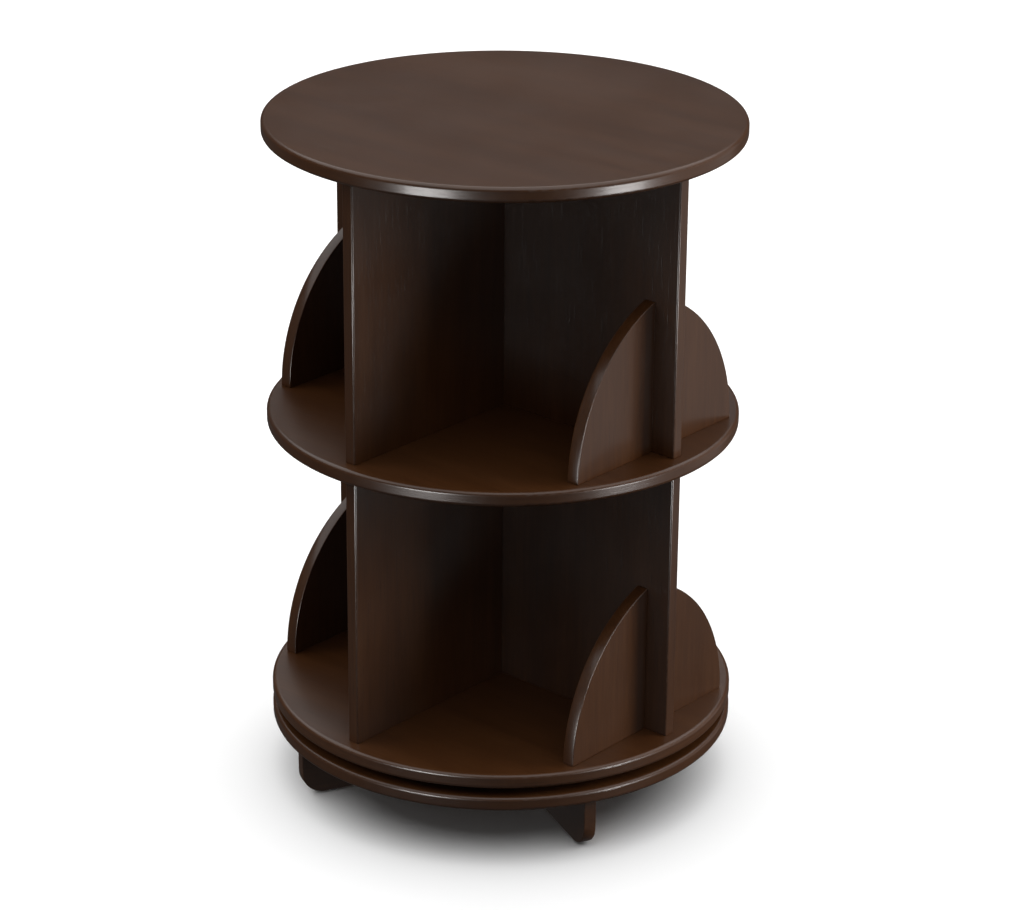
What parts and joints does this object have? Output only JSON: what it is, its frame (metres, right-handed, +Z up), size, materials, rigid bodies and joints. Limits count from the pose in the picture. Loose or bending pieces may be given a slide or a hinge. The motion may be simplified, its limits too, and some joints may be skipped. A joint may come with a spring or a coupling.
{
  "type": "revolving bookcase",
  "caption": "Two-tier revolving bookcase: round shelves and crossed panels that turn on a ball bearing over a footed base.",
  "frame": {"origin": "on the floor, on the axis that the rack turns about", "axes": "+Z up along the turning axis; the rack's full-width panels lie along X and its half-width panels along Y when the rack is at rest"},
  "size_m": [0.4059, 0.406, 0.599],
  "materials": {
    "espresso_wood": "dark espresso stain under satin lacquer",
    "beech_dowel": "raw beech",
    "zinc_screw": "zinc plated",
    "zinc_plate": "zinc plated pressed steel",
    "polished_ball": "polished",
    "nylon_cage": "natural nylon",
    "black_glide": "matte"
  },
  "bodies": {
    "base": {"bearing_lower_plate": "zinc_plate", "bearing_lower_screws": "zinc_screw", "base_disc": "espresso_wood", "foot_beam_front_to_back": "espresso_wood", "foot_beam_side_to_side": "espresso_wood", "foot_screws": "zinc_screw", "foot_glides": "black_glide"},
    "rack": {"top_disc": "espresso_wood", "upper_full_panel": "espresso_wood", "upper_half_panel_front": "espresso_wood", "upper_half_panel_back": "espresso_wood", "middle_shelf": "espresso_wood", "lower_full_panel": "espresso_wood", "lower_half_panel_front": "espresso_wood", "lower_half_panel_back": "espresso_wood", "bottom_shelf": "espresso_wood", "upper_bookend_right_front": "espresso_wood", "upper_bookend_right_back": "espresso_wood", "upper_bookend_left_front": "espresso_wood", "upper_bookend_left_back": "espresso_wood", "lower_bookend_right_front": "espresso_wood", "lower_bookend_right_back": "espresso_wood", "lower_bookend_left_front": "espresso_wood", "lower_bookend_left_back": "espresso_wood", "top_dowels": "beech_dowel", "middle_dowels": "beech_dowel", "cross_dowels": "beech_dowel", "bookend_side_dowels": "beech_dowel", "bookend_foot_dowels": "beech_dowel", "rack_screws": "zinc_screw", "bearing_upper_plate": "zinc_plate", "bearing_upper_screws": "zinc_screw"},
    "ball_ring": {"ball_cage": "nylon_cage", "bearing_balls": "polished_ball"}
  },
  "joints": [
    {"name": "rack_turn", "type": "hinge", "parent": "base", "child": "rack", "pos_m": [0, 0, 0.07], "axis": [0, 0, 1], "continuous": true},
    {"name": "ball_ring_roll", "type": "hinge", "parent": "base", "child": "ball_ring", "pos_m": [0, 0, 0.07], "axis": [0, 0, 1], "continuous": true}
  ],
  "couplings": [
    {"joint": "ball_ring_roll", "follows": "rack_turn", "ratio": 0.5}
  ]
}
